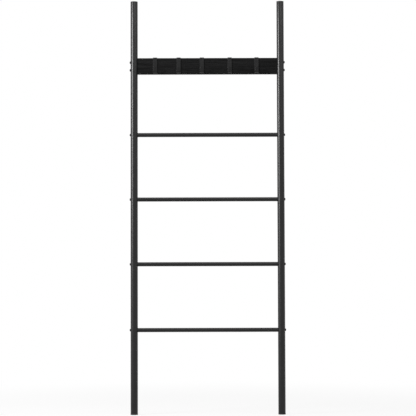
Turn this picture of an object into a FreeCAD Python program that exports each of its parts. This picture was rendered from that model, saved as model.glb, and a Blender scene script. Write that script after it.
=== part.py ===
import FreeCAD, Part
import math
import os
import Sketcher

# Blanket ladder: two straight steel tubes joined by four thin rungs and, near the top, by a
# flat board that carries five loose hooks.  It is drawn upright on its two feet; in use it
# leans back against a wall.
# Lengths are in millimetres and angles in degrees.  +Z is up, +X is to the right and the
# front faces -Y.  The origin is on the floor, in the middle of the ladder's width and of its
# depth from the hooks' tips to the backs of the feet.

Vector = FreeCAD.Vector
Z_AXIS = Vector(0, 0, 1)
CLOSE = 0.01
HEXAGON_SIDES = 6

doc = FreeCAD.newDocument("BlanketLadder")

# ---------------------------------------------------------------- driving dimensions
# Heights are measured from the floor.
DIMENSIONS = {
    "ladder_height": 1597.0,
    "rail_spacing": 567.0,
    "rail_diameter": 28.0,
    "rail_wall": 1.2,
    "rung_diameter": 16.0,
    "rung_wall": 1.2,
    "rung_one_height": 1077.0,
    "rung_two_height": 827.0,
    "rung_three_height": 577.0,
    "rung_four_height": 324.0,
    "seat_gap": 0.05,
    "board_centre_height": 1344.0,
    "board_width": 63.0,
    "board_thickness": 15.0,
    "board_edge_radius": 1.5,
    "board_bolt_spacing": 30.0,
    "bolt_diameter": 6.0,
    "bolt_length": 45.0,
    "bolt_clearance": 0.5,
    "bolt_head_diameter": 10.5,
    "bolt_head_height": 3.3,
    "bolt_crown_diameter": 7.0,
    "thread_bore_diameter": 6.1,
    "rung_insert_length": 24.0,
    "board_insert_diameter": 10.0,
    "board_insert_length": 20.0,
    "board_bore_extra": 6.0,
    "cap_plug_length": 20.0,
    "cap_fin_thickness": 4.0,
    "top_flange_height": 2.5,
    "top_flange_chamfer": 1.0,
    "foot_flange_height": 5.0,
    "foot_flange_lip": 0.3,
    "hook_width": 16.0,
    "hook_thickness": 2.0,
    "hook_clearance": 0.3,
    "hook_back_leg": 26.0,
    "hook_bend_drop": 50.0,
    "hook_bend_radius": 9.0,
    "hook_tip_length": 17.0,
    "hook_tip_flare": 15.0,
    "hook_tip_width": 10.0,
    "hook_swell_rise": 8.0,
    "hook_leg_rounding": 4.0,
    "hook_one_offset": -202.0,
    "hook_two_offset": -111.0,
    "hook_three_offset": -21.0,
    "hook_four_offset": 87.0,
    "hook_five_offset": 191.0,
}

sheet = doc.addObject("Spreadsheet::Sheet", "Dims")
for row, (alias, number) in enumerate(DIMENSIONS.items(), start=1):
    sheet.set(f"A{row}", alias)
    sheet.set(f"B{row}", str(number))
    sheet.setAlias(f"B{row}", alias)
doc.recompute()


class Size:
    """A size that carries both its present value and the sheet expression that drives it."""

    def __init__(self, value, text):
        self.value = value
        self.text = text

    def _join(self, other, sign, value, swap=False):
        if isinstance(other, Size):
            other_text = other.text
        else:
            other_text = repr(float(other))
        pair = (other_text, self.text) if swap else (self.text, other_text)
        return Size(value, f"({pair[0]} {sign} {pair[1]})")

    def __add__(self, other):
        return self._join(other, "+", self.value + number_of(other))

    def __sub__(self, other):
        return self._join(other, "-", self.value - number_of(other))

    def __rsub__(self, other):
        return self._join(other, "-", number_of(other) - self.value, swap=True)

    def __mul__(self, other):
        return self._join(other, "*", self.value * number_of(other))

    def __truediv__(self, other):
        return self._join(other, "/", self.value / number_of(other))

    def __neg__(self):
        return self * -1.0

    def sin(self):
        return Size(math.sin(math.radians(self.value)), f"sin({self.text})")

    def cos(self):
        return Size(math.cos(math.radians(self.value)), f"cos({self.text})")


def number_of(size):
    """The plain number of a Size, or of a number."""
    return size.value if isinstance(size, Size) else float(size)


def dim(alias):
    """The Size that the sheet holds under an alias."""
    return Size(float(sheet.get(alias)), f"Dims.{alias}")


def fixed(number):
    """A Size that no cell drives, such as the corner angle of a hexagon."""
    return Size(float(number), repr(float(number)))


ZERO = fixed(0)
rail_radius = dim("rail_diameter") / 2
rail_bore = rail_radius - dim("rail_wall")
rung_bore = dim("rung_diameter") / 2 - dim("rung_wall")
half_spacing = dim("rail_spacing") / 2
seat_radius = rail_radius + dim("seat_gap")
insert_end = half_spacing - seat_radius - dim("seat_gap")
thread_bore = dim("thread_bore_diameter") / 2
foot_radius = rail_radius + dim("foot_flange_lip")
board_bolt_rises = [dim("board_bolt_spacing") / 2, -(dim("board_bolt_spacing") / 2)]
board_bolt_heights = [dim("board_centre_height") + rise for rise in board_bolt_rises]
rung_heights = [dim(f"rung_{word}_height") for word in ("one", "two", "three", "four")]
leg_outside = dim("board_thickness") / 2 + dim("hook_clearance") + dim("hook_thickness")
bend_outer = dim("hook_bend_radius") + dim("hook_thickness")
flare = dim("hook_tip_flare")
tip_run = dim("hook_tip_length") * flare.sin()
tip_rise = dim("hook_tip_length") * flare.cos()
hook_front = leg_outside + dim("hook_bend_radius") + bend_outer * flare.cos() + tip_run
# The rails' axes lie this far behind the middle between the hooks' tips and the feet's backs.
setback = (hook_front - foot_radius) / 2


# ---------------------------------------------------------------- shared construction
def new_body(name):
    """An empty body under the name of its sub-part."""
    body = doc.addObject("PartDesign::Body", name)
    body.Label = name
    body.AllowCompound = True
    return body


def origin_plane(body, role):
    """One of the body's own origin planes."""
    return next(item for item in body.Origin.OriginFeatures if item.Role == role)


def new_sketch(body, name, role, offset=ZERO):
    """A sketch on one of the body's origin planes, moved along the plane's normal by offset."""
    sketch = body.newObject("Sketcher::SketchObject", name)
    sketch.AttachmentSupport = (origin_plane(body, role), "")
    sketch.MapMode = "FlatFace"
    sketch.setExpression("AttachmentOffset.Base.z", offset.text)
    return sketch


def hold_point(sketch, geometry, position, x, y):
    """Hold one point of a sketch at (x, y) by two driven distances from the sketch's origin."""
    for kind, axis, size in (("DistanceX", -2, x), ("DistanceY", -1, y)):
        if size is ZERO:
            sketch.addConstraint(Sketcher.Constraint("PointOnObject", geometry, position, axis))
        else:
            rule = Sketcher.Constraint(kind, -1, 1, geometry, position, size.value)
            index = sketch.addConstraint(rule)
            sketch.setExpression(f"Constraints[{index}]", size.text)


def hold_radius(sketch, geometry, radius):
    """Drive the radius of a circle or an arc."""
    index = sketch.addConstraint(Sketcher.Constraint("Radius", geometry, radius.value))
    sketch.setExpression(f"Constraints[{index}]", radius.text)


def add_circle(sketch, radius, x=ZERO, y=ZERO):
    """A circle with driven radius and centre."""
    circle = Part.Circle(Vector(x.value, y.value, 0), Z_AXIS, radius.value)
    index = sketch.addGeometry(circle, False)
    hold_radius(sketch, index, radius)
    hold_point(sketch, index, 3, x, y)


def add_ring(sketch, outer, inner, y=ZERO):
    """Two circles about (0, y) that leave a ring between them."""
    add_circle(sketch, outer, y=y)
    add_circle(sketch, inner, y=y)


def arc_between(here, there, bulge):
    """The shorter arc of a circle (radius, centre x, centre y) between two of its points."""
    radius, centre_x, centre_y = bulge
    centre = Vector(centre_x.value, centre_y.value, 0)
    begin = math.atan2(here.y - centre.y, here.x - centre.x)
    end = math.atan2(there.y - centre.y, there.x - centre.x)
    if (end - begin) % (2 * math.pi) > math.pi:
        begin, end = end, begin
    if end < begin:
        end += 2 * math.pi
    return Part.ArcOfCircle(Part.Circle(centre, Z_AXIS, radius.value), begin, end)


def add_outline(sketch, corners):
    """A closed outline through corners (x, y) or (x, y, bulge), each held by driven distances.

    A bulge is (radius, centre x, centre y) of the arc that leads from that corner to the next;
    without one the edge is straight.
    """
    first = sketch.GeometryCount
    points = [Vector(corner[0].value, corner[1].value, 0) for corner in corners]
    ends = []
    for index, corner in enumerate(corners):
        here = points[index]
        there = points[(index + 1) % len(points)]
        if len(corner) == 3:
            edge = arc_between(here, there, corner[2])
        else:
            edge = Part.LineSegment(here, there)
        sketch.addGeometry(edge, False)
        forward = (edge.StartPoint - here).Length < CLOSE
        ends.append((1, 2) if forward else (2, 1))
    for index, corner in enumerate(corners):
        previous = (index - 1) % len(corners)
        joint = (first + previous, ends[previous][1], first + index, ends[index][0])
        sketch.addConstraint(Sketcher.Constraint("Coincident", *joint))
        hold_point(sketch, first + index, ends[index][0], corner[0], corner[1])
        if len(corner) == 3:
            hold_radius(sketch, first + index, corner[2][0])


def add_hexagon(sketch, corner_radius):
    """A regular hexagon about the sketch's origin, with a corner at its top."""
    corners = []
    for index in range(HEXAGON_SIDES):
        angle = fixed(360 / HEXAGON_SIDES * index)
        corners.append((corner_radius * angle.sin(), corner_radius * angle.cos()))
    add_outline(sketch, corners)


def add_feature(body, kind, name, profile, length=None, both_ways=False, reverse=False):
    """A Pad or Pocket of a sketch; without a length it goes through everything."""
    feature = body.newObject(f"PartDesign::{kind}", name)
    feature.Profile = profile
    if length is None:
        feature.Type = "ThroughAll"
    else:
        feature.setExpression("Length", length.text)
    if both_ways:
        feature.SideType = "Symmetric"
    feature.Reversed = reverse
    profile.Visibility = False
    return feature


def ease_edges(body, kind, name, is_wanted, size):
    """A Fillet or Chamfer on the edges of the body whose boxes pass a test."""
    doc.recompute()
    solid = body.Tip
    names = []
    for number, edge in enumerate(solid.Shape.Edges, start=1):
        if is_wanted(edge.BoundBox):
            names.append(f"Edge{number}")
    easing = body.newObject(f"PartDesign::{kind}", name)
    easing.Base = (solid, names)
    easing.setExpression("Radius" if kind == "Fillet" else "Size", size.text)


def mirror_sideways(body, features=None):
    """Repeat some features, or the whole body, on the other side of its own YZ plane."""
    doc.recompute()
    mirror = body.newObject("PartDesign::Mirrored", f"{body.Name}_other_side")
    if features is None:
        mirror.TransformMode = "Whole shape"
    else:
        mirror.Originals = features
    mirror.MirrorPlane = (origin_plane(body, "YZ_Plane"), "")
    body.Tip = mirror


def stand(body, height, sideways=ZERO):
    """Place a body in the plane of the rails' axes, at a height above the floor."""
    body.Placement = FreeCAD.Placement(Vector(), FreeCAD.Rotation())
    body.setExpression("Placement.Base.x", sideways.text)
    body.setExpression("Placement.Base.y", setback.text)
    body.setExpression("Placement.Base.z", height.text)


# ---------------------------------------------------------------- rails
def make_rail(name, sideways):
    """A straight tube, cross-drilled where the bolts of the rungs and of the board go through."""
    body = new_body(name)
    bottom = dim("foot_flange_height")
    ring = new_sketch(body, f"{name}_section", "XY_Plane")
    add_ring(ring, rail_radius, rail_bore)
    tube_length = dim("ladder_height") - dim("top_flange_height") - bottom
    add_feature(body, "Pad", f"{name}_tube", ring, tube_length)
    drilling = new_sketch(body, f"{name}_drilling", "YZ_Plane")
    for height in rung_heights + board_bolt_heights:
        hole_radius = (dim("bolt_diameter") + dim("bolt_clearance")) / 2
        add_circle(drilling, hole_radius, y=height - bottom)
    add_feature(body, "Pocket", f"{name}_bolt_holes", drilling, both_ways=True)
    stand(body, bottom, sideways)
    return body


# ---------------------------------------------------------------- rungs
def cope_ends(body):
    """Hollow both ends of a cross piece to the round of the rails that it seats on."""
    saddle = new_sketch(body, f"{body.Name}_saddles", "XY_Plane")
    add_circle(saddle, seat_radius, x=half_spacing)
    add_circle(saddle, seat_radius, x=-half_spacing)
    add_feature(body, "Pocket", f"{body.Name}_coped_ends", saddle, both_ways=True)


def make_rung(name, height):
    """A thin tube whose ends are coped to sit on the round rails."""
    body = new_body(name)
    ring = new_sketch(body, f"{name}_section", "YZ_Plane")
    add_ring(ring, dim("rung_diameter") / 2, rung_bore)
    add_feature(body, "Pad", f"{name}_tube", ring, dim("rail_spacing"), both_ways=True)
    cope_ends(body)
    stand(body, height)
    return body


def make_rung_inserts(name, height):
    """The two long hexagonal nuts pressed into a rung's ends, held there by their corners."""
    body = new_body(name)
    length = dim("rung_insert_length")
    section = new_sketch(body, f"{name}_section", "YZ_Plane", insert_end - length)
    add_hexagon(section, rung_bore - dim("seat_gap"))
    add_circle(section, thread_bore)
    add_feature(body, "Pad", f"{name}_nut", section, length)
    mirror_sideways(body)
    stand(body, height)
    return body


# ---------------------------------------------------------------- bolts
def add_bolt(body, rise=ZERO):
    """A low-headed bolt through a rail: head outside, shank towards the ladder's middle."""
    tag = f"{body.Name}_{len(body.Group)}"
    seat = half_spacing + rail_radius
    crown = seat + dim("bolt_head_height")
    tip = seat - dim("bolt_length")
    shank_radius = dim("bolt_diameter") / 2
    half = new_sketch(body, f"{tag}_section", "XY_Plane")
    half.setExpression("AttachmentOffset.Base.z", rise.text)
    add_outline(half, [
        (crown, ZERO), (crown, dim("bolt_crown_diameter") / 2),
        (seat, dim("bolt_head_diameter") / 2), (seat, shank_radius),
        (tip, shank_radius), (tip, ZERO),
    ])
    turned = body.newObject("PartDesign::Revolution", f"{tag}_turned")
    turned.Profile = half
    turned.ReferenceAxis = (half, ["H_Axis"])
    turned.Angle = 360


def make_bolts(name, height, rises):
    """The bolts that hold one cross piece: one through each rail at each rise from its middle."""
    body = new_body(name)
    for rise in rises:
        add_bolt(body, rise)
    mirror_sideways(body)
    stand(body, height)
    return body


# ---------------------------------------------------------------- board
def make_board(name):
    """A flat board with eased long edges, coped ends and a pair of bores in each end."""
    body = new_body(name)
    half_thickness = dim("board_thickness") / 2
    half_width = dim("board_width") / 2
    section = new_sketch(body, f"{name}_section", "YZ_Plane")
    add_outline(section, [
        (-half_thickness, -half_width), (half_thickness, -half_width),
        (half_thickness, half_width), (-half_thickness, half_width),
    ])
    add_feature(body, "Pad", f"{name}_plank", section, dim("rail_spacing"), both_ways=True)
    ease_edges(body, "Fillet", f"{name}_eased_edges",
               lambda box: box.XLength > half_spacing.value, dim("board_edge_radius"))
    cope_ends(body)
    boring = new_sketch(body, f"{name}_boring", "YZ_Plane", half_spacing)
    for rise in board_bolt_rises:
        add_circle(boring, dim("board_insert_diameter") / 2 + dim("seat_gap"), y=rise)
    bore_depth = seat_radius + dim("board_insert_length") + dim("board_bore_extra")
    bores = add_feature(body, "Pocket", f"{name}_bores", boring, bore_depth)
    mirror_sideways(body, [bores])
    stand(body, dim("board_centre_height"))
    return body


def make_board_inserts(name):
    """The four threaded sleeves in the board's ends, one for each of its bolts."""
    body = new_body(name)
    length = dim("board_insert_length")
    section = new_sketch(body, f"{name}_section", "YZ_Plane", insert_end - length)
    for rise in board_bolt_rises:
        add_ring(section, dim("board_insert_diameter") / 2, thread_bore, rise)
    add_feature(body, "Pad", f"{name}_sleeve", section, length)
    mirror_sideways(body)
    stand(body, dim("board_centre_height"))
    return body


# ---------------------------------------------------------------- end caps
def add_plug(body, downwards):
    """Four crossed fins that push into the tube and hold the cap by their corners."""
    fin = dim("cap_fin_thickness") / 2
    grip = rail_bore - dim("seat_gap")
    # A fin's two corners lie on the tube's bore; the small angle reaches half its thickness.
    half_angle = fixed(math.degrees(math.asin(fin.value / grip.value)))
    reach = grip * half_angle.cos()
    cross = new_sketch(body, f"{body.Name}_fins", "XY_Plane")
    add_outline(cross, [
        (fin, fin), (fin, reach), (-fin, reach), (-fin, fin),
        (-reach, fin), (-reach, -fin), (-fin, -fin), (-fin, -reach),
        (fin, -reach), (fin, -fin), (reach, -fin), (reach, fin),
    ])
    add_feature(body, "Pad", f"{body.Name}_plug", cross, dim("cap_plug_length"),
                reverse=downwards)


def make_top_cap(name, sideways):
    """A thin round flange with a chamfered rim, on a plug in the rail's top end."""
    body = new_body(name)
    height = dim("top_flange_height")
    disc = new_sketch(body, f"{name}_disc", "XY_Plane")
    add_circle(disc, rail_radius)
    add_feature(body, "Pad", f"{name}_flange", disc, height)
    ease_edges(body, "Chamfer", f"{name}_rim",
               lambda box: box.ZMin > height.value - CLOSE, dim("top_flange_chamfer"))
    add_plug(body, downwards=True)
    stand(body, dim("ladder_height") - height, sideways)
    return body


def make_foot_cap(name, sideways):
    """A thick round foot, a little wider than the rail, under a plug in the rail's bottom end."""
    body = new_body(name)
    height = dim("foot_flange_height")
    disc = new_sketch(body, f"{name}_disc", "XY_Plane")
    add_circle(disc, foot_radius)
    add_feature(body, "Pad", f"{name}_flange", disc, height, reverse=True)
    add_plug(body, downwards=False)
    stand(body, height, sideways)
    return body


# ---------------------------------------------------------------- hooks
def make_hook(name, offset):
    """A strap hook that saddles the board's top edge, with a J bend and a narrowed tip in front.

    Its side outline runs down the back leg, over the board's rounded top, down the front leg,
    round the J bend and up the tip, which leans outwards.
    """
    body = new_body(name)
    corner = dim("board_edge_radius")
    inner = corner + dim("hook_clearance")
    outer = inner + dim("hook_thickness")
    flat = dim("board_thickness") / 2 - corner
    top = dim("board_width") / 2 - corner
    leg_inside = flat + inner
    leg_end = top + corner - dim("hook_back_leg")
    bend = dim("hook_bend_radius")
    bend_y = -(leg_outside + bend)
    bend_z = top + corner - dim("hook_bend_drop")
    low_inner = (bend_y - bend * flare.cos(), bend_z - bend * flare.sin())
    low_outer = (bend_y - bend_outer * flare.cos(), bend_z - bend_outer * flare.sin())
    side = new_sketch(body, f"{name}_side", "YZ_Plane")
    add_outline(side, [
        (leg_inside, leg_end), (leg_outside, leg_end),
        (leg_outside, top, (outer, flat, top)),
        (flat, top + outer), (-flat, top + outer, (outer, -flat, top)),
        (-leg_outside, top), (-leg_outside, bend_z, (bend, bend_y, bend_z)),
        (bend_y, bend_z - bend, (bend, bend_y, bend_z)),
        low_inner, (low_inner[0] - tip_run, low_inner[1] + tip_rise),
        (low_outer[0] - tip_run, low_outer[1] + tip_rise),
        (low_outer[0], low_outer[1], (bend_outer, bend_y, bend_z)),
        (bend_y, bend_z - bend_outer, (bend_outer, bend_y, bend_z)),
        (-leg_inside, bend_z), (-leg_inside, top, (inner, -flat, top)),
        (-flat, top + inner), (flat, top + inner, (inner, flat, top)),
        (leg_inside, top),
    ])
    add_feature(body, "Pad", f"{name}_strap", side, dim("hook_width"), both_ways=True)
    narrow_tip(body, bend_y, bend_z, low_inner[1] + tip_rise)
    ease_edges(body, "Fillet", f"{name}_leg_corners",
               lambda box: box.ZMax < leg_end.value + CLOSE and box.YMin > 0 and box.XLength < CLOSE,
               dim("hook_leg_rounding"))
    stand(body, dim("board_centre_height"), offset)
    return body


def narrow_tip(body, bend_y, bend_z, tip_top):
    """Cut the hook's tip from in front to a round-ended tongue that swells into the bend."""
    wide = dim("hook_width") / 2
    slim = dim("hook_tip_width") / 2
    beyond = wide + dim("hook_thickness")
    above = tip_top + dim("hook_thickness")
    swell_rise = dim("hook_swell_rise")
    # The swell starts just above the end of the bend, so that it lies on the flat of the tip.
    swell_start = bend_z - swell_rise / 4
    swell_end = swell_start + swell_rise
    shoulder = wide - slim
    swell = (shoulder * shoulder + swell_rise * swell_rise) / (shoulder * 2)
    round_z = tip_top - slim
    front = dim("hook_bend_drop")
    outline = new_sketch(body, f"{body.Name}_tongue", "XZ_Plane", front)
    add_outline(outline, [
        (-beyond, swell_start), (-beyond, above), (beyond, above), (beyond, swell_start),
        (wide, swell_start, (swell, slim + swell, swell_end)),
        (slim, swell_end), (slim, round_z, (slim, ZERO, round_z)),
        (ZERO, tip_top, (slim, ZERO, round_z)), (-slim, round_z),
        (-slim, swell_end, (swell, -(slim + swell), swell_end)), (-wide, swell_start),
    ])
    add_feature(body, "Pocket", f"{body.Name}_tongue_cut", outline, front + bend_y)


# ---------------------------------------------------------------- the ladder, put together
parts = [
    make_rail("rail_left", -half_spacing),
    make_rail("rail_right", half_spacing),
    make_board("hook_board"),
    make_bolts("board_bolts", dim("board_centre_height"), board_bolt_rises),
    make_board_inserts("board_inserts"),
    make_top_cap("top_cap_left", -half_spacing),
    make_top_cap("top_cap_right", half_spacing),
    make_foot_cap("foot_cap_left", -half_spacing),
    make_foot_cap("foot_cap_right", half_spacing),
]
for number, height in enumerate(rung_heights, start=1):
    parts.append(make_rung(f"rung_{number}", height))
    parts.append(make_bolts(f"rung_{number}_bolts", height, [ZERO]))
    parts.append(make_rung_inserts(f"rung_{number}_inserts", height))
for number, word in enumerate(("one", "two", "three", "four", "five"), start=1):
    parts.append(make_hook(f"hook_{number}", dim(f"hook_{word}_offset")))
doc.recompute()

faulty = [item.Name for item in doc.Objects if {"Invalid", "Error"} & set(item.State)]
for body in parts:
    if body.Shape.isNull() or not body.Shape.isValid():
        faulty.append(body.Label)
if faulty:
    raise RuntimeError(f"these objects failed: {faulty}")

os.makedirs("parts", exist_ok=True)
for body in parts:
    body.Shape.exportStep(os.path.join("parts", f"{body.Label}.step"))
    box = body.Shape.BoundBox
    print(f"{body.Label}: {len(body.Shape.Solids)} solids, {body.Shape.Volume:.1f} mm3, "
          f"Z {box.ZMin:.2f} to {box.ZMax:.2f}, Y {box.YMin:.2f} to {box.YMax:.2f}")
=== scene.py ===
import math

import bpy
import numpy as np
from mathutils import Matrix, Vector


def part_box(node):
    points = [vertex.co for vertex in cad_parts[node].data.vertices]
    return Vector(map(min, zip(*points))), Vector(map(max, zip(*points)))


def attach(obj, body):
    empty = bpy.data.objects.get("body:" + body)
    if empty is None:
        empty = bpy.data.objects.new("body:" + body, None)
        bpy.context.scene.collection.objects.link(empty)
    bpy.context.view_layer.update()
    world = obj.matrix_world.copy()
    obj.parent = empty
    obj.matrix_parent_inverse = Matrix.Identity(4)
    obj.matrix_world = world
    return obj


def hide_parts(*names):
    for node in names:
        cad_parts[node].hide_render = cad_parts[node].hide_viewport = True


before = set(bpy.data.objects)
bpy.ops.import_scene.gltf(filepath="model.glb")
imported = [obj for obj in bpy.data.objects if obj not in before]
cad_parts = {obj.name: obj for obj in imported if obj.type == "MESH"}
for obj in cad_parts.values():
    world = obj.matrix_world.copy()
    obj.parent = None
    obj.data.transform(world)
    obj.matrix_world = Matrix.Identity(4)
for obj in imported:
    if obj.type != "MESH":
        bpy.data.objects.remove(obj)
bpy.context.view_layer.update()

# ---------------------------------------------------------------- rails
# Two straight upright steel tubes that carry everything.  They are cut square, deburred and
# powder coated in satin black; plastic caps close their ends.


def middle(node):
    """The middle of a node's box in the frame."""
    low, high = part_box(node)
    return (np.array(low) + np.array(high)) / 2


axis_depth = middle("rail_left")[1]


def spot(across, depth, height):
    """Points at a distance across the ladder, behind the rails' axes and above the floor."""
    across, depth, height = np.broadcast_arrays(across, depth, height)
    return np.stack([across, axis_depth + depth, height], axis=-1)


def skin(rings, joined=False):
    """Points, quads and triangles of a closed surface laid over rings of points.

    Each ring closes on itself.  Neighbouring rings are joined by quads.  If joined, the last
    ring leads back to the first, as in a tube with a wall; otherwise a fan of triangles to the
    middle of the first and of the last ring closes each end.  The faces are turned so that the
    volume under them, the sum of p . (q x r) / 6 over their triangles, is positive.
    """
    rows, columns = rings.shape[:2]
    number = np.arange(rows * columns).reshape(rows, columns)
    beside = np.roll(number, -1, axis=1)
    above, above_beside = np.roll(number, -1, axis=0), np.roll(beside, -1, axis=0)
    last = rows if joined else rows - 1
    quads = np.stack([number, beside, above_beside, above], axis=-1)[:last].reshape(-1, 4)
    points = rings.reshape(-1, 3)
    fans = np.empty((0, 3), int)
    if not joined:
        centres = np.stack([rings[0].mean(axis=0), rings[-1].mean(axis=0)])
        first, end = len(points), len(points) + 1
        points = np.concatenate([points, centres])
        fans = np.concatenate([
            np.stack([beside[0], number[0], np.full(columns, first)], axis=-1),
            np.stack([number[-1], beside[-1], np.full(columns, end)], axis=-1)])
    triangles = np.concatenate([quads[:, [0, 1, 2]], quads[:, [0, 2, 3]], fans])
    p, q, r = (points[triangles[:, corner]] for corner in range(3))
    if (p * np.cross(q, r)).sum() < 0:
        quads, fans = quads[:, ::-1], fans[:, ::-1]
    return points, quads, fans


sharp_from = math.radians(32)


def add_piece(name, skins, material, node, body="root"):
    """One object made of several skins that stands for a node of the frame and rides on its
    body.  Where two faces meet at more than sharp_from, the edge between them shows."""
    points, faces, start = [], [], 0
    for skin_points, quads, fans in skins:
        points.append(skin_points)
        faces += (quads + start).tolist() + (fans + start).tolist()
        start += len(skin_points)
    mesh = bpy.data.meshes.new(name)
    mesh.from_pydata(np.concatenate(points).tolist(), [], faces)
    mesh.shade_smooth()
    mesh.set_sharp_from_angle(angle=sharp_from)
    mesh.materials.append(material)
    piece = bpy.data.objects.new(name, mesh)
    bpy.context.scene.collection.objects.link(piece)
    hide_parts(node)
    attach(piece, body)


def turn(count):
    """Angles of a full turn in equal steps."""
    return np.arange(count) * (2 * math.pi / count)


def revolve(profile, centre_across, angles):
    """Rings about a rail's axis: each profile point (radius, height) goes once round.

    across = centre + radius cos(angle), depth = radius sin(angle), height as given.
    """
    radius, height = np.array(profile).T[:, :, None]
    return spot(centre_across + radius * np.cos(angles), radius * np.sin(angles),
                height + 0 * angles)


def add_node(tree, kind, inputs=None, **settings):
    """A shader node; inputs holds plain values or the sockets to link, by name or number."""
    made = tree.nodes.new(f"ShaderNode{kind}")
    for key, value in settings.items():
        setattr(made, key, value)
    for key, value in (inputs or {}).items():
        if isinstance(value, bpy.types.NodeSocket):
            tree.links.new(value, made.inputs[key])
        else:
            made.inputs[key].default_value = value
    return made


def add_group(name, inputs, outputs):
    """An empty node group with named sockets, and the nodes at its start and end."""
    group = bpy.data.node_groups.new(name, "ShaderNodeTree")
    for socket, kind in inputs.items():
        group.interface.new_socket(socket, in_out="INPUT", socket_type=f"NodeSocket{kind}")
    for socket, kind in outputs.items():
        group.interface.new_socket(socket, in_out="OUTPUT", socket_type=f"NodeSocket{kind}")
    return group, group.nodes.new("NodeGroupInput"), group.nodes.new("NodeGroupOutput")


def spread(tree, value, low, high):
    """Carries a noise value, which mostly lies between 0.3 and 0.7, over to low..high."""
    made = add_node(tree, "MapRange", {"Value": value, "From Min": 0.3, "From Max": 0.7,
                                       "To Min": low, "To Max": high})
    return made.outputs["Result"]


def new_finish(name):
    """A material, its node tree, its shader and the Object coordinates its patterns read."""
    material = bpy.data.materials.new(name)
    material.use_nodes = True
    tree = material.node_tree
    place = add_node(tree, "TexCoord").outputs["Object"]
    return material, tree, tree.nodes["Principled BSDF"], place


def lay_on(tree, shader, colour, roughness, relief=None):
    """Joins a finish to its shader.  The relief holds a height's socket, how strongly it shows
    and how many metres a height of 1 stands for."""
    tree.links.new(colour, shader.inputs["Base Color"])
    tree.links.new(roughness, shader.inputs["Roughness"])
    if relief:
        height, strength, metres = relief
        bump = add_node(tree, "Bump", {"Height": height, "Strength": strength,
                                       "Distance": metres})
        tree.links.new(bump.outputs["Normal"], shader.inputs["Normal"])


# Powder coat: melted powder draws together into a fine orange peel about 2 mm from crest to
# crest, with a finer grain on it; its gloss and its black vary a little from place to place.
peel_scale, grain_scale, cloud_scale = 560.0, 2600.0, 22.0
grain_share, peel_strength, peel_rise = 0.25, 0.3, 0.00004
blue_tint = 1.03
coat, coat_in, coat_out = add_group(
    "powder_coat",
    {"Place": "Vector", "Dark": "Color", "Light": "Color", "Gloss low": "Float",
     "Gloss high": "Float"},
    {"Colour": "Color", "Roughness": "Float", "Height": "Float"})
coat_place = coat_in.outputs["Place"]
peel = add_node(coat, "TexNoise", {"Vector": coat_place, "Scale": peel_scale, "Detail": 1.5,
                                   "Roughness": 0.45})
grain = add_node(coat, "TexNoise", {"Vector": coat_place, "Scale": grain_scale, "Detail": 1.0})
cloud = add_node(coat, "TexNoise", {"Vector": coat_place, "Scale": cloud_scale, "Detail": 3.0,
                                    "Roughness": 0.6})
coat_tone = add_node(coat, "Mix", {0: spread(coat, cloud.outputs[0], 0.0, 1.0),
                                   6: coat_in.outputs["Dark"], 7: coat_in.outputs["Light"]},
                     data_type="RGBA")
coat_gloss = spread(coat, cloud.outputs[0], coat_in.outputs["Gloss low"],
                    coat_in.outputs["Gloss high"])
coat_height = add_node(coat, "Math", {0: grain.outputs[0], 1: grain_share, 2: peel.outputs[0]},
                       operation="MULTIPLY_ADD")
coat.links.new(coat_tone.outputs[2], coat_out.inputs["Colour"])
coat.links.new(coat_gloss, coat_out.inputs["Roughness"])
coat.links.new(coat_height.outputs[0], coat_out.inputs["Height"])


def coated_steel(name, dark, light, gloss, shine):
    """Steel under powder coat: the group's colour, gloss and orange peel on one shader."""
    material, tree, shader, place = new_finish(name)
    effect = add_node(tree, "Group", {
        "Place": place, "Dark": (dark, dark, dark * blue_tint, 1.0),
        "Light": (light, light, light * blue_tint, 1.0),
        "Gloss low": gloss[0], "Gloss high": gloss[1]}, node_tree=coat)
    lay_on(tree, shader, effect.outputs["Colour"], effect.outputs["Roughness"],
           (effect.outputs["Height"], peel_strength, peel_rise))
    shader.inputs["Specular IOR Level"].default_value = shine
    return material


rail_coat = coated_steel("rail_coat", 0.0035, 0.0060, gloss=(0.28, 0.33), shine=0.33)
rail_low, rail_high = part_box("rail_left")
rail_radius = (rail_high[0] - rail_low[0]) / 2
rail_bottom, rail_top = rail_low[2], rail_high[2]
rail_wall, rail_edge = 0.0012, 0.0004
rail_angles = turn(112)


def tube_profile(radius, wall, bottom, top, edge):
    """(radius, height) round the wall of a tube: up outside, over the top, down inside.

    Both outer corners are quarter circles: radius less edge (1 - sin t), at a distance of
    edge (1 - cos t) from the tube's end.
    """
    quarter = np.linspace(0, math.pi / 2, 4)
    ease_out = radius - edge + edge * np.sin(quarter)
    lower = np.stack([ease_out, bottom + edge - edge * np.cos(quarter)], axis=-1)
    upper = np.stack([ease_out[::-1], top - edge + edge * np.cos(quarter[::-1])], axis=-1)
    walls = np.linspace(bottom + edge, top - edge, 12)[1:-1]
    outside = np.stack([np.full(len(walls), radius), walls], axis=-1)
    bore = [(radius - wall, top), (radius - wall, bottom)]
    return np.concatenate([lower, outside, upper, bore])


for side in ("left", "right"):
    axis = middle(f"rail_{side}")[0]
    profile = tube_profile(rail_radius, rail_wall, rail_bottom, rail_top, rail_edge)
    add_piece(f"tube_{side}", [skin(revolve(profile, axis, rail_angles), joined=True)],
              rail_coat, f"rail_{side}")

# ---------------------------------------------------------------- end caps
# A moulded black plastic cap closes each end of a rail: a flange on a plug of four crossed fins
# that grips the bore.  The top one is thin and as wide as the tube, the foot thick and wider.


def two_tone(tree, pattern, dark, light, dark_to, light_from):
    """One colour up to a value of the pattern, another from a higher one, a blend between."""
    ramp = add_node(tree, "ValToRGB", {"Fac": pattern})
    dark_stop, light_stop = ramp.color_ramp.elements
    dark_stop.position, dark_stop.color = dark_to, (*dark, 1)
    light_stop.position, light_stop.color = light_from, (*light, 1)
    return ramp.outputs[0]


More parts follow.
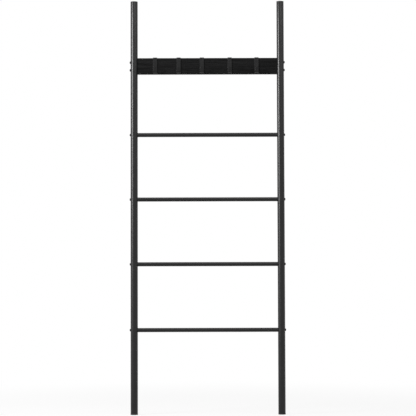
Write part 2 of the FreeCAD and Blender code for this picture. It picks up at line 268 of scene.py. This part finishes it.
cap_plastic, tree, shader, place = new_finish("cap_plastic")
spark = add_node(tree, "TexNoise", {"Vector": place, "Scale": 1900.0, "Detail": 2.0})
bloom = add_node(tree, "TexNoise", {"Vector": place, "Scale": 120.0, "Detail": 2.0})
moulded = two_tone(tree, bloom.outputs[0], (0.013, 0.013, 0.0135), (0.019, 0.019, 0.0195),
                   dark_to=0.35, light_from=0.65)
lay_on(tree, shader, moulded, spread(tree, bloom.outputs[0], 0.5, 0.62),
       (spark.outputs[0], 0.5, 0.00006))
shader.inputs["Specular IOR Level"].default_value = 0.3

fin_half, fin_play, plug_length = 0.002, 0.00005, 0.020
fin_grip = rail_radius - rail_wall - fin_play
fin_reach = math.sqrt(fin_grip ** 2 - fin_half ** 2)
fin_cross = np.array([
    (fin_half, fin_half), (fin_half, fin_reach), (-fin_half, fin_reach), (-fin_half, fin_half),
    (-fin_reach, fin_half), (-fin_reach, -fin_half), (-fin_half, -fin_half),
    (-fin_half, -fin_reach), (fin_half, -fin_reach), (fin_half, -fin_half),
    (fin_reach, -fin_half), (fin_reach, fin_half)])
taper_from, taper_to = 0.9, 0.93


def plug(axis, seat, end):
    """Four crossed fins from the flange (seat) to the plug's end, drawn in a little at the end."""
    stages = np.array([(1.0, seat), (1.0, seat + (end - seat) * taper_from), (taper_to, end)])
    scale, height = stages.T[:, :, None]
    return skin(spot(axis + scale * fin_cross[:, 0], scale * fin_cross[:, 1], height))


flange_arris = 0.0003


def flange(radius, inner_face, outer_face, rim):
    """(radius, height) of a disc whose outer edge is a quarter circle of the radius rim and
    whose inner edge has a small chamfer."""
    outwards = math.copysign(1, outer_face - inner_face)
    quarter = np.linspace(0, math.pi / 2, 7)
    edge = [(radius - rim + rim * math.cos(t), outer_face - outwards * rim * (1 - math.sin(t)))
            for t in quarter]
    start = [(radius - flange_arris, inner_face), (radius, inner_face + outwards * flange_arris)]
    return start + edge + [(radius * 0.6, outer_face), (radius * 0.2, outer_face)]


# The outermost faces are drawn this much inside those of the solids.
slim = 0.00004
foot_lip, lid_rim, foot_rim = 0.0003, 0.0010, 0.0008
for side in ("left", "right"):
    axis = middle(f"rail_{side}")[0]
    cap_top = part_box(f"top_cap_{side}")[1][2]
    cap_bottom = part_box(f"foot_cap_{side}")[0][2]
    lid = flange(rail_radius - slim, rail_top, cap_top - slim, lid_rim)
    foot = flange(rail_radius + foot_lip - slim, rail_bottom, cap_bottom + slim, foot_rim)
    add_piece(f"cap_top_{side}",
              [skin(revolve(lid, axis, rail_angles)), plug(axis, rail_top, rail_top - plug_length)],
              cap_plastic, f"top_cap_{side}")
    add_piece(f"cap_foot_{side}",
              [skin(revolve(foot, axis, rail_angles)),
               plug(axis, rail_bottom, rail_bottom + plug_length)],
              cap_plastic, f"foot_cap_{side}")

# ---------------------------------------------------------------- rungs
# Four thin steel tubes between the rails, coped at both ends to sit on the round of the rails
# and bolted there through the rails.  Same satin black powder coat.
rung_coat = coated_steel("rung_coat", 0.0035, 0.0055, gloss=(0.34, 0.40), shine=0.26)
rung_radius, rung_wall, seat_play = 0.008, 0.0012, 0.00005
half_spacing = middle("rail_right")[0]
seat_radius = rail_radius + seat_play
rung_angles = turn(72)


def cope(depth):
    """Half the length of a cross piece at a depth, where its end meets the round of the rail:
    half the rails' spacing less the root of seat radius squared minus depth squared."""
    return half_spacing - np.sqrt(seat_radius ** 2 - depth ** 2)


stations = np.concatenate([[-1.0], np.linspace(-0.985, 0.985, 9), [1.0]])
for number in range(1, 5):
    node = f"rung_{number}"
    shares = np.concatenate([stations, stations[::-1]])[:, None]
    radius = np.repeat([rung_radius, rung_radius - rung_wall], len(stations))[:, None]
    depth = radius * np.sin(rung_angles)
    tube = spot(shares * cope(depth), depth, middle(node)[2] + radius * np.cos(rung_angles))
    add_piece(f"cross_{number}", [skin(tube, joined=True)], rung_coat, node)

# ---------------------------------------------------------------- hook board
# A flat board of fibreboard wrapped in a matte black foil with a printed and pressed wood
# grain.  Its long edges are rounded over and its ends coped to the rails.

# The grain runs along the board, so each noise is coarse along it and fine across it: a slow
# wander, the bands that it bends, and the pores, whose strokes are darker than the bands.
wander_scale, band_scale, pore_scale = (5.0, 40.0, 40.0), (6.0, 230.0, 230.0), (70.0, 1500.0, 1500.0)
band_bend = (0.5, 3.0, 3.0)
pore_from, pore_to, pore_dark = 0.56, 0.68, -0.55
wood, wood_in, wood_out = add_group(
    "wood_grain",
    {"Place": "Vector", "Dark": "Color", "Light": "Color"},
    {"Colour": "Color", "Roughness": "Float", "Height": "Float"})
wood_place = wood_in.outputs["Place"]
drift = add_node(wood, "Mapping", {"Vector": wood_place, "Scale": wander_scale})
wander = add_node(wood, "TexNoise", {"Vector": drift.outputs[0], "Scale": 1.0, "Detail": 2.0})
band_place = add_node(wood, "Mapping", {"Vector": wood_place, "Scale": band_scale})
bent = add_node(wood, "VectorMath", {0: wander.outputs[1], 1: band_bend,
                                     2: band_place.outputs[0]}, operation="MULTIPLY_ADD")
bands = add_node(wood, "TexNoise", {"Vector": bent.outputs[0], "Scale": 1.0, "Detail": 3.0,
                                    "Roughness": 0.65})
pore_place = add_node(wood, "Mapping", {"Vector": wood_place, "Scale": pore_scale})
pore_noise = add_node(wood, "TexNoise", {"Vector": pore_place.outputs[0], "Scale": 1.0,
                                         "Detail": 1.0})
pores = add_node(wood, "MapRange", {"Value": pore_noise.outputs[0], "From Min": pore_from,
                                    "From Max": pore_to, "To Min": 0.0, "To Max": 1.0})
figure = add_node(wood, "Math", {0: pores.outputs[0], 1: pore_dark,
                                 2: spread(wood, bands.outputs[0], 0.0, 1.0)},
                  operation="MULTIPLY_ADD", use_clamp=True)
wood_tone = add_node(wood, "Mix", {0: figure.outputs[0], 6: wood_in.outputs["Dark"],
                                   7: wood_in.outputs["Light"]}, data_type="RGBA")
wood.links.new(wood_tone.outputs[2], wood_out.inputs["Colour"])
wood.links.new(spread(wood, bands.outputs[0], 0.66, 0.54), wood_out.inputs["Roughness"])
wood.links.new(figure.outputs[0], wood_out.inputs["Height"])

board_foil, tree, shader, place = new_finish("board_foil")
effect = add_node(tree, "Group", {"Place": place, "Dark": (0.0012, 0.0012, 0.0012, 1),
                                  "Light": (0.0100, 0.0100, 0.0102, 1)}, node_tree=wood)
lay_on(tree, shader, effect.outputs["Colour"], effect.outputs["Roughness"],
       (effect.outputs["Height"], 0.6, 0.00012))
shader.inputs["Specular IOR Level"].default_value = 0.07


def rounded_box(half_wide, half_high, corner, steps=6):
    """Points round a rectangle with quarter circles for corners, in two arrays (wide, high).

    Each corner's centre lies one radius in from both sides; its points add
    radius (cos a, sin a) for a over its quarter turn.
    """
    quarter = np.linspace(0, math.pi / 2, steps + 1)
    angle = np.concatenate([quarter + turn_on for turn_on in turn(4)])
    sign_wide = np.repeat([1, -1, -1, 1], steps + 1)
    sign_high = np.repeat([1, 1, -1, -1], steps + 1)
    wide = sign_wide * (half_wide - corner) + corner * np.cos(angle)
    high = sign_high * (half_high - corner) + corner * np.sin(angle)
    return wide, high


board_height = middle("hook_board")[2]
board_half_thick, board_half_wide, board_corner = 0.0075, 0.0315, 0.0015
thick, wide = rounded_box(board_half_thick, board_half_wide, board_corner)
# Each coped end is filled by sections of the board that shrink to its middle.
shrink = np.array([0.03, 0.25, 0.5, 0.75, 0.93, 1.0])
shares = np.linspace(-1, 1, 25)
scale = np.concatenate([shrink, np.ones(len(shares) - 2), shrink[::-1]])[:, None]
share = np.concatenate([np.full(len(shrink), -1.0), shares[1:-1],
                        np.full(len(shrink), 1.0)])[:, None]
depth = scale * thick
plank = spot(share * cope(depth), depth, board_height + scale * wide)
add_piece("plank", [skin(plank)], board_foil, "hook_board")

# ---------------------------------------------------------------- bolts
# Low button-headed bolts with a hexagon socket, in black oxide steel.  Each goes through a
# rail from outside into the threaded insert of a rung's or of the board's end.
bolt_black, tree, shader, place = new_finish("bolt_black")
scuff = add_node(tree, "TexNoise", {"Vector": place, "Scale": 900.0, "Detail": 3.0})
oxide = two_tone(tree, scuff.outputs[0], (0.012, 0.012, 0.0125), (0.026, 0.0255, 0.026),
                 dark_to=0.35, light_from=0.7)
lay_on(tree, shader, oxide, spread(tree, scuff.outputs[0], 0.38, 0.50))
shader.inputs["Metallic"].default_value = 0.6
shader.inputs["Specular IOR Level"].default_value = 0.3

head_radius, head_high, shank_radius, bolt_long = 0.00525, 0.0033, 0.0030, 0.045
socket_flat, socket_deep, socket_mouth = 0.0020, 0.0021, 1.05
drill_share, drill_deep = 0.25, 0.0003
crown_radius, brim = 0.0029, 0.00035
head_arris, shank_point = 0.0002, 0.0005
bolt_angles = turn(60)
# The dome is part of a sphere about a point on the bolt's axis, through the brim and the crown.
dome_centre = ((head_radius ** 2 + brim ** 2 - crown_radius ** 2 - head_high ** 2)
               / (2 * (brim - head_high)))
dome_radius = math.hypot(head_radius, brim - dome_centre)
dome = np.linspace(math.atan2(head_high - dome_centre, crown_radius),
                   math.atan2(brim - dome_centre, head_radius), 9)
# A hexagon's wall lies at flat / cos(angle from the middle of its side).
from_side = (bolt_angles + math.pi / 6) % (math.pi / 3) - math.pi / 6
hexagon = socket_flat / np.cos(from_side)
full = np.ones_like(bolt_angles)
# From the bottom of the socket up its wall, over the dome, under the head and along the shank.
bolt_radius = np.stack(
    [drill_share * hexagon, hexagon, hexagon,
     socket_mouth * full * socket_flat / math.cos(math.pi / 6)]
    + [full * dome_radius * math.cos(t) for t in dome]
    + [full * head_radius, full * (head_radius - head_arris), full * shank_radius,
       full * shank_radius, full * (shank_radius - shank_point)])
bolt_reach = np.array(
    [head_high - socket_deep - drill_deep, head_high - socket_deep, head_high - head_arris,
     head_high]
    + [dome_centre + dome_radius * math.sin(t) for t in dome]
    + [head_arris, 0.0, 0.0, shank_point - bolt_long, -bolt_long])[:, None]


def bolt(side, height):
    """A bolt along X: at each reach beyond its seat on the rail, a ring of the given radii."""
    reach = half_spacing + rail_radius + bolt_reach - slim
    return skin(spot(side * reach, bolt_radius * np.sin(bolt_angles),
                     height + bolt_radius * np.cos(bolt_angles)))


board_rise = 0.015
heights = {"board_bolts": [board_height + board_rise, board_height - board_rise]}
heights |= {f"rung_{number}_bolts": [middle(f"rung_{number}")[2]] for number in range(1, 5)}
for node, levels in heights.items():
    add_piece(f"{node}_turned", [bolt(side, level) for level in levels for side in (-1, 1)],
              bolt_black, node)

# ---------------------------------------------------------------- threaded inserts
# Long hexagonal nuts pressed into the rungs' ends and round sleeves set into the board's ends,
# which take the bolts.  They are of drawn steel, zinc plated, and lie out of sight, so the
# solids stay as they are and only get their finish.
insert_zinc, tree, shader, place = new_finish("insert_zinc")
drawn = add_node(tree, "Mapping", {"Vector": place, "Scale": (60.0, 1400.0, 1400.0)})
lines = add_node(tree, "TexNoise", {"Vector": drawn.outputs[0], "Scale": 1.0, "Detail": 3.0})
zinc = two_tone(tree, lines.outputs[0], (0.48, 0.48, 0.47), (0.62, 0.62, 0.60),
                dark_to=0.3, light_from=0.7)
lay_on(tree, shader, zinc, spread(tree, lines.outputs[0], 0.28, 0.42))
shader.inputs["Metallic"].default_value = 1.0
for node in ["board_inserts"] + [f"rung_{number}_inserts" for number in range(1, 5)]:
    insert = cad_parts[node]
    insert.data.materials.clear()
    insert.data.materials.append(insert_zinc)

# ---------------------------------------------------------------- hooks
# Five loose hooks bent from steel strap: a short leg behind the board, a saddle over its top
# edge, a long leg in front, a J bend and a narrower round-ended tip.  They slide along the
# board.  Stamped edges are eased, and the coat is the same satin black.
hook_coat = coated_steel("hook_coat", 0.0050, 0.0080, gloss=(0.38, 0.44), shine=0.20)
strap_half_wide, strap_half_thick, strap_ease = 0.008, 0.001, 0.0005
hook_play, short_leg, long_leg, bend_inside = 0.0003, 0.026, 0.050, 0.009
saddle_flat = board_half_thick - board_corner
saddle_bend = board_corner + hook_play + strap_half_thick
saddle_top = board_half_wide - board_corner
leg_depth = saddle_flat + saddle_bend
leg_end = board_half_wide - short_leg
bend_rise = board_half_wide - long_leg
bend_radius = bend_inside + strap_half_thick
leg_corner = 0.004
tip_length, tip_lean, tip_half_wide = 0.017, math.radians(15), 0.005
swell_from, swell_long = -0.002, 0.008


def bend(centre_depth, centre_rise, radius, begin, end, steps):
    """Points and outward directions on an arc: centre + radius (cos a, sin a), a in degrees."""
    angle = np.radians(np.linspace(begin, end, steps + 1))
    out = np.stack([np.cos(angle), np.sin(angle)], axis=-1)
    return np.array([centre_depth, centre_rise]) + radius * out, out


def run(here, there, out, steps):
    """Points on a straight line, which share one outward direction; its ends are left out."""
    share = np.linspace(0, 1, steps + 2)[1:-1, None]
    return (1 - share) * np.array(here) + share * np.array(there), np.tile(out, (steps, 1))


back_turn = bend(saddle_flat, saddle_top, saddle_bend, 0, 90, 10)
front_turn = bend(-saddle_flat, saddle_top, saddle_bend, 90, 180, 10)
# The J bend turns the other way, so its outward side is the strap's other face.
jay_points, jay_out = bend(-leg_depth - bend_radius, bend_rise, bend_radius, 0,
                           math.degrees(tip_lean) - 180, 30)
jay_out = -jay_out
tip_along = np.array([-math.sin(tip_lean), math.cos(tip_lean)])
# The strap's centre line in (depth, rise), with points crowded towards its two rounded ends.
end_share = np.array([0, 0.05, 0.13, 0.25, 0.4, 0.6, 0.85])
near_end = leg_end + leg_corner * end_share
far_end = tip_length - tip_half_wide * end_share[::-1]
tip_reach = np.concatenate([np.linspace(0.001, tip_length - tip_half_wide, 14)[:-1], far_end])
spine = [
    (np.stack([np.full(len(near_end), leg_depth), near_end], axis=-1),
     np.tile([1.0, 0.0], (len(near_end), 1))),
    run((leg_depth, near_end[-1]), (leg_depth, saddle_top), (1.0, 0.0), 6),
    back_turn, run(back_turn[0][-1], front_turn[0][0], (0.0, 1.0), 3), front_turn,
    run(front_turn[0][-1], jay_points[0], (-1.0, 0.0), 14), (jay_points, jay_out),
    (jay_points[-1] + tip_reach[:, None] * tip_along, np.tile(jay_out[-1], (len(tip_reach), 1))),
]
path = np.concatenate([points for points, _ in spine])
outward = np.concatenate([out for _, out in spine])
steps_along = np.linalg.norm(np.diff(path, axis=0), axis=1)
distance = np.concatenate([[0], np.cumsum(steps_along)])
left_over = distance[-1] - distance


def end_round(distance, radius):
    """How far a rounded end draws the edge in, at a distance from the end: radius minus the
    root of radius squared minus (radius - distance) squared."""
    short = np.clip(radius - distance, 0, radius)
    return radius - np.sqrt(np.maximum(radius ** 2 - short ** 2, 0))


# Past the J bend the strap narrows from its full width to the tip's in one hollow curve.
past_swell = np.clip((path[:, 1] - bend_rise - swell_from) / swell_long, 0, 1)
past_bend = path[:, 0] < -leg_depth - bend_radius
shoulder = (strap_half_wide - tip_half_wide) * (1 - (1 - past_swell) ** 2)
half_wide = strap_half_wide - np.where(past_bend, shoulder, 0)
# Both ends are rounded in width and thin out a little towards their edge.
least_half_wide, end_thinning = 0.0006, 0.7
half_wide = half_wide - end_round(distance, leg_corner) - end_round(left_over, tip_half_wide)
half_wide = np.maximum(half_wide, least_half_wide)
half_thick = strap_half_thick - end_thinning * (end_round(distance, strap_ease)
                                                + end_round(left_over, strap_ease))
# The strap's section is a box with eased edges: its corners' signs give the flat part and
# their directions the rounding.
sign_wide, sign_thick = rounded_box(1.0, 1.0, 0.0, 5)
round_wide, round_thick = rounded_box(1.0, 1.0, 1.0, 5)
ease = np.minimum(strap_ease, 0.999 * half_thick)[:, None]
section_wide = (half_wide[:, None] - ease) * sign_wide + ease * round_wide
section_thick = (half_thick[:, None] - ease) * sign_thick + ease * round_thick
depth = path[:, :1] + outward[:, :1] * section_thick
rise = path[:, 1:] + outward[:, 1:] * section_thick

for number in range(1, 6):
    node = f"hook_{number}"
    strap = spot(middle(node)[0] + section_wide, depth, board_height + rise)
    add_piece(f"strap_{number}", [skin(strap)], hook_coat, node, body=node)

# ---------------------------------------------------------------- floor, light and camera
# A plain white floor and surround.  The camera and what mirrors see get the white directly;
# the floor keeps a share of lit white, which carries the ladder's shadow.


def seen_directly(tree):
    """1 for rays from the camera, from a mirror or through glass, else 0."""
    rays = add_node(tree, "LightPath")
    mirrored = add_node(tree, "Math", {0: rays.outputs["Is Camera Ray"],
                                       1: rays.outputs["Is Glossy Ray"]}, operation="MAXIMUM")
    return add_node(tree, "Math", {0: mirrored.outputs[0],
                                   1: rays.outputs["Is Transmission Ray"]},
                    operation="MAXIMUM").outputs[0]


floor_half = 60.0
floor_mesh = bpy.data.meshes.new("floor")
floor_mesh.from_pydata([(-floor_half, -floor_half, 0), (floor_half, -floor_half, 0),
                        (floor_half, floor_half, 0), (-floor_half, floor_half, 0)],
                       [], [(0, 1, 2, 3)])
floor = bpy.data.objects.new("floor", floor_mesh)
bpy.context.scene.collection.objects.link(floor)
floor_white = bpy.data.materials.new("floor_white")
floor_white.use_nodes = True
tree = floor_white.node_tree
tree.nodes.clear()
# Past the ladder's shadow the floor runs out into the plain white of the surround.
shadow_reach, white_from, near_share = 0.7, 2.2, 0.88
away = add_node(tree, "VectorMath", {0: add_node(tree, "TexCoord").outputs["Object"]},
                operation="LENGTH")
own_white = add_node(tree, "MapRange", {"Value": away.outputs["Value"],
                                        "From Min": shadow_reach, "From Max": white_from,
                                        "To Min": near_share, "To Max": 1.0},
                     interpolation_type="SMOOTHSTEP")
seen = add_node(tree, "Math", {0: seen_directly(tree), 1: own_white.outputs[0]},
                operation="MULTIPLY")
lit = add_node(tree, "BsdfDiffuse", {"Color": (0.9, 0.9, 0.9, 1)})
white = add_node(tree, "Emission", {"Color": (1, 1, 1, 1), "Strength": 1.0})
both = add_node(tree, "MixShader", {0: seen.outputs[0], 1: lit.outputs[0], 2: white.outputs[0]})
tree.links.new(both.outputs[0], add_node(tree, "OutputMaterial").inputs["Surface"])
floor_mesh.materials.append(floor_white)

# The surround lights matte faces dimly and shows as full white to the camera and in gloss.
surround_light = 0.13
world = bpy.data.worlds.new("surround")
bpy.context.scene.world = world
world.use_nodes = True
tree = world.node_tree
tree.nodes.clear()
plain = add_node(tree, "Background", {"Color": (1, 1, 1, 1), "Strength": surround_light})
bright = add_node(tree, "Background", {"Color": (1, 1, 1, 1), "Strength": 1.0})
both = add_node(tree, "MixShader", {0: seen_directly(tree), 1: plain.outputs[0],
                                    2: bright.outputs[0]})
tree.links.new(both.outputs[0], add_node(tree, "OutputWorld").inputs["Surface"])


def add_light(name, place, target, wide, high, radiance):
    """A rectangular soft box that faces a target; its power is radiance x area x pi."""
    light = bpy.data.lights.new(name, "AREA")
    light.shape = "RECTANGLE"
    light.size, light.size_y = wide, high
    light.energy = radiance * wide * high * math.pi
    lamp = bpy.data.objects.new(name, light)
    bpy.context.scene.collection.objects.link(lamp)
    facing = np.array(target, float) - np.array(place, float)
    flat = math.hypot(facing[0], facing[1])
    lamp.location = place
    lamp.rotation_euler = (math.atan2(flat, -facing[2]), 0,
                           math.atan2(facing[1], facing[0]) - math.pi / 2)


# Two boxes at the left draw the bright line down each tube, stronger towards the top; the
# others light the front, the top and the back plainly.
add_light("left_strip", (-2.6, -1.5, 1.98), (0, 0, 1.7), 0.9, 1.25, 27.0)
add_light("left_strip_low", (-2.6, -1.5, 1.07), (0, 0, 1.0), 0.9, 0.56, 11.4)
add_light("right_fill", (2.9, -3.7, 2.9), (0, 0, 1.1), 1.0, 1.2, 5.4)
add_light("front_high", (0.9, -4.3, 3.5), (0, 0, 1.1), 1.9, 2.2, 1.7)
add_light("overhead", (0.0, -1.5, 4.2), (0, 0, 1.1), 1.7, 2.6, 2.5)
add_light("back_high", (0.0, 1.6, 4.4), (0, 0, 1.1), 2.0, 1.4, 1.2)

# Seen from straight in front, six metres from the rails and half a metre above the floor,
# tilted up a little and hardly rolled.
camera_across, camera_away, camera_height = 0.0007, 6.0, 0.496
camera_tilt, camera_roll = math.radians(90 + 2.84), math.radians(0.157)
camera_data = bpy.data.cameras.new("camera")
camera_data.sensor_width = 36.0
camera_data.lens = 134.6
camera_data.clip_end = 200.0
camera = bpy.data.objects.new("camera", camera_data)
bpy.context.scene.collection.objects.link(camera)
camera.location = (camera_across, axis_depth - camera_away, camera_height)
camera.rotation_euler = (camera_tilt, camera_roll, 0)
bpy.context.scene.camera = camera
bpy.context.scene.view_settings.view_transform = "Standard"
